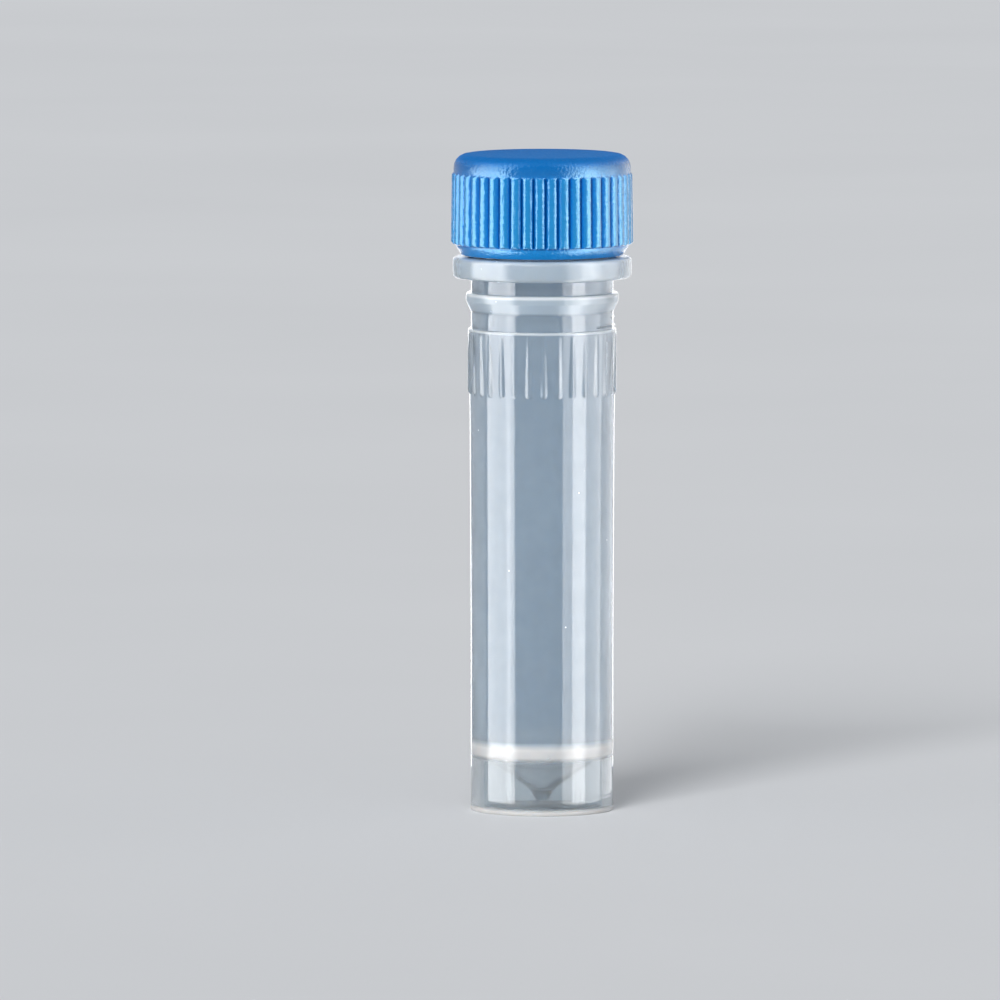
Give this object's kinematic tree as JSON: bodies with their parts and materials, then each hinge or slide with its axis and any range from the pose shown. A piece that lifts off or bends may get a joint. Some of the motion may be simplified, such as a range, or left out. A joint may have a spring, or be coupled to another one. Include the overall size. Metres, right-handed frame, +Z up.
{
  "type": "cryovial",
  "caption": "Slim self-standing vial in milky plastic with a finely ribbed shoulder band, an external thread and a ribbed screw cap over a seal ring, for storing small frozen samples.",
  "frame": {"origin": "centre of the circle that the vial stands on, on its long axis", "axes": "+Z up the vial's long axis towards the cap; X and Y across it, with the two low moulded arcs of the shoulder recess towards -Y and +X"},
  "size_m": [0.0134, 0.0134, 0.048],
  "materials": {
    "tube": "milky translucent polypropylene, moulded, slightly frosted",
    "cap": "opaque blue polypropylene with a fine satin grain",
    "seal": "pale soft silicone"
  },
  "bodies": {
    "vial": {"tube": "tube"},
    "ring": {"seal_ring": "seal"},
    "cap": {"screw_cap": "cap"}
  },
  "joints": [
    {"name": "cap_rise", "type": "slide", "parent": "vial", "child": "ring", "axis": [0, 0, 1], "range_m": [0, 0.0075]},
    {"name": "cap_turn", "type": "hinge", "parent": "ring", "child": "cap", "pos_m": [0, 0, 0.044], "axis": [0, 0, 1], "range_deg": [0, 1081]}
  ],
  "couplings": [
    {"joint": "cap_turn", "follows": "cap_rise", "rad_per_m": 2513.3}
  ]
}
